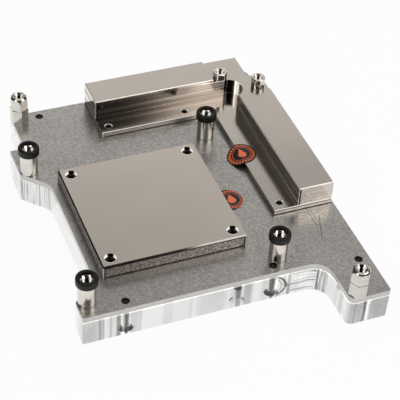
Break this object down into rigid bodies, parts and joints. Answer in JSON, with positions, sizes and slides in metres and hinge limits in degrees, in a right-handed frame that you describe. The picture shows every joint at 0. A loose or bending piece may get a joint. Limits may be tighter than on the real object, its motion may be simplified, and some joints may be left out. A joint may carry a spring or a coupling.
{
  "type": "liquid cooling cold plate",
  "caption": "Full-cover liquid cooling cold plate: a finned square plate and a stepped L-shaped regulator block on a metal plate over a clear channelled body, with posts and standoffs.",
  "frame": {"origin": "middle of the bounding box, on the clear face that lies on the bench", "axes": "+Z from the clear face to the contact faces, +Y towards the bar along the long side, +X towards the side with the foot"},
  "size_m": [0.1124, 0.1414, 0.028],
  "materials": {
    "clear_acrylic": "polished clear",
    "plate_metal": "satin, fine grain",
    "jet_steel": "satin",
    "cold_nickel": "brushed nickel",
    "block_nickel": "milled nickel",
    "post_nickel": "bright nickel",
    "standoff_nickel": "bright nickel",
    "collar_plastic": "satin black",
    "screw_black": "blackened steel",
    "seal_rubber": "matte",
    "label_film": "satin printed film"
  },
  "bodies": {
    "root": {"clear_body": "clear_acrylic", "base_plate": "plate_metal", "jet_plate": "jet_steel", "cpu_cold_plate": "cold_nickel", "regulator_block": "block_nickel", "cold_plate_seal": "seal_rubber", "regulator_seal": "seal_rubber", "body_seal": "seal_rubber", "label_on_flange": "label_film", "label_on_plate": "label_film", "standoff_short": "standoff_nickel", "standoff_tall": "standoff_nickel", "trim_screw": "screw_black", "post_front_left": "post_nickel", "collar_front_left": "collar_plastic", "cold_screw_front_left": "screw_black", "post_front_right": "post_nickel", "collar_front_right": "collar_plastic", "cold_screw_front_right": "screw_black", "post_back_left": "post_nickel", "collar_back_left": "collar_plastic", "cold_screw_back_left": "screw_black", "post_back_right": "post_nickel", "collar_back_right": "collar_plastic", "cold_screw_back_right": "screw_black", "regulator_screw_left": "screw_black", "regulator_screw_middle": "screw_black", "regulator_screw_right": "screw_black", "body_screw_back_left": "screw_black", "body_screw_front_left": "screw_black", "body_screw_front_right": "screw_black", "body_screw_foot": "screw_black", "hex_lower_left": "standoff_nickel", "hex_upper_left": "standoff_nickel", "hex_lower_right": "standoff_nickel", "hex_upper_right": "standoff_nickel"}
  },
  "joints": []
}
